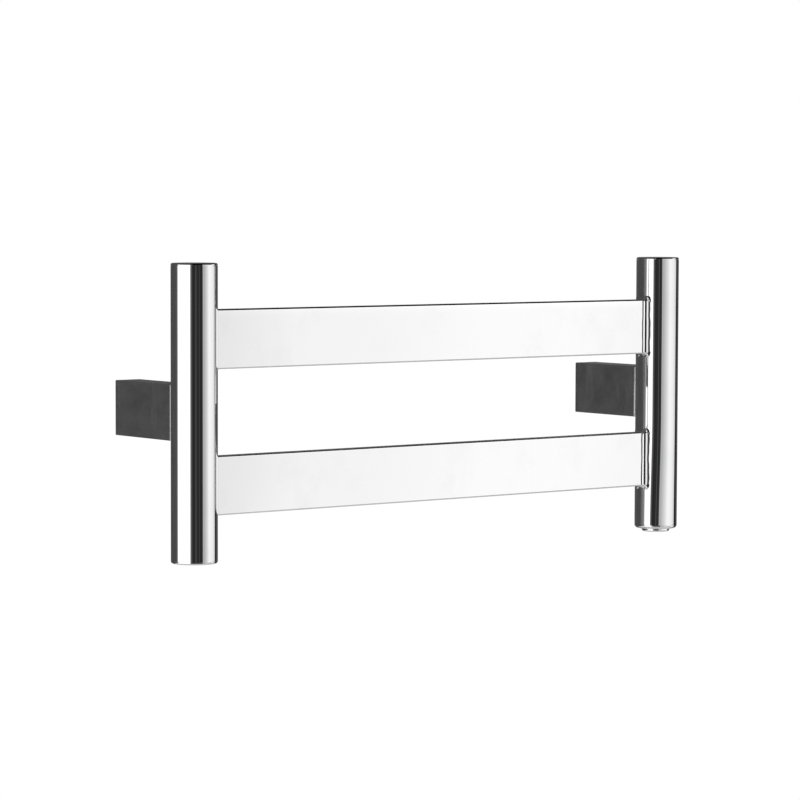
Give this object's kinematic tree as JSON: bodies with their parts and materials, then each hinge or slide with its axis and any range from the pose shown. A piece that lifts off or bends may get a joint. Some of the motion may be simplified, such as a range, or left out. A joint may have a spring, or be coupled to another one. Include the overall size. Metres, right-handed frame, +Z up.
{
  "type": "towel warmer rack",
  "caption": "Small wall-mounted electric towel warmer with round uprights, flat bars, box brackets and a push-button switch at the foot.",
  "frame": {"origin": "on the wall plane, midway between the brackets and at mid-height of the uprights", "axes": "+X to the right seen from the front, +Y into the wall, +Z up"},
  "size_m": [0.57, 0.122, 0.2596],
  "materials": {
    "polished_stainless": "mirror-polished stainless steel",
    "plain_steel": "plain zinc-plated steel",
    "cast_aluminium": "plain die-cast aluminium",
    "brass": "plain brass",
    "black_plastic": "black moulded plastic",
    "white_plastic": "off-white moulded plastic",
    "black_rubber": "black rubber",
    "red_silicone": "red silicone jacket of the heating cable",
    "brown_silicone": "brown silicone insulation",
    "blue_silicone": "blue silicone insulation",
    "green_yellow_silicone": "green and yellow silicone insulation"
  },
  "bodies": {
    "rack": {"left_upright_tube": "polished_stainless", "right_upright_tube": "polished_stainless", "left_top_cap": "polished_stainless", "right_top_cap": "polished_stainless", "left_bottom_cap": "polished_stainless", "right_bottom_ring": "polished_stainless", "upper_flat_bar": "polished_stainless", "lower_flat_bar": "polished_stainless", "left_bracket_sleeve": "polished_stainless", "right_bracket_sleeve": "polished_stainless", "switch_bezel": "polished_stainless", "left_end_plate": "plain_steel", "right_end_plate": "plain_steel", "left_weld_nut": "plain_steel", "right_weld_nut": "plain_steel", "left_upright_screw": "plain_steel", "right_upright_screw": "plain_steel", "left_screw_washer": "plain_steel", "left_grub_screw": "plain_steel", "right_grub_screw": "plain_steel", "terminal_fixing_screw": "plain_steel", "switch_spring": "plain_steel", "thermal_cutout": "plain_steel", "left_wall_base": "cast_aluminium", "right_wall_base": "cast_aluminium", "earth_ring_terminal": "brass", "live_supply_terminal_screw": "brass", "live_rack_terminal_screw": "brass", "earth_supply_terminal_screw": "brass", "earth_rack_terminal_screw": "brass", "neutral_supply_terminal_screw": "brass", "neutral_rack_terminal_screw": "brass", "live_switch_tail": "brass", "switched_switch_tail": "brass", "switch_body": "black_plastic", "terminal_block": "white_plastic", "live_splice": "white_plastic", "neutral_splice": "white_plastic", "wiring_grommet": "black_rubber", "supply_grommet": "black_rubber", "switch_seal": "black_rubber", "heating_cable": "red_silicone", "line_lead": "brown_silicone", "switched_lead": "brown_silicone", "cutout_link_lead": "brown_silicone", "neutral_lead": "blue_silicone", "earth_lead": "green_yellow_silicone"},
    "button": {"switch_button": "polished_stainless", "contact_bridge": "brass"}
  },
  "joints": [
    {"name": "button_press", "type": "slide", "parent": "rack", "child": "button", "axis": [0, 0, 1], "range_m": [0, 0.0025], "stiffness_N_per_m": 800, "springref_m": -0.0015, "deforming": ["switch_spring"]}
  ]
}
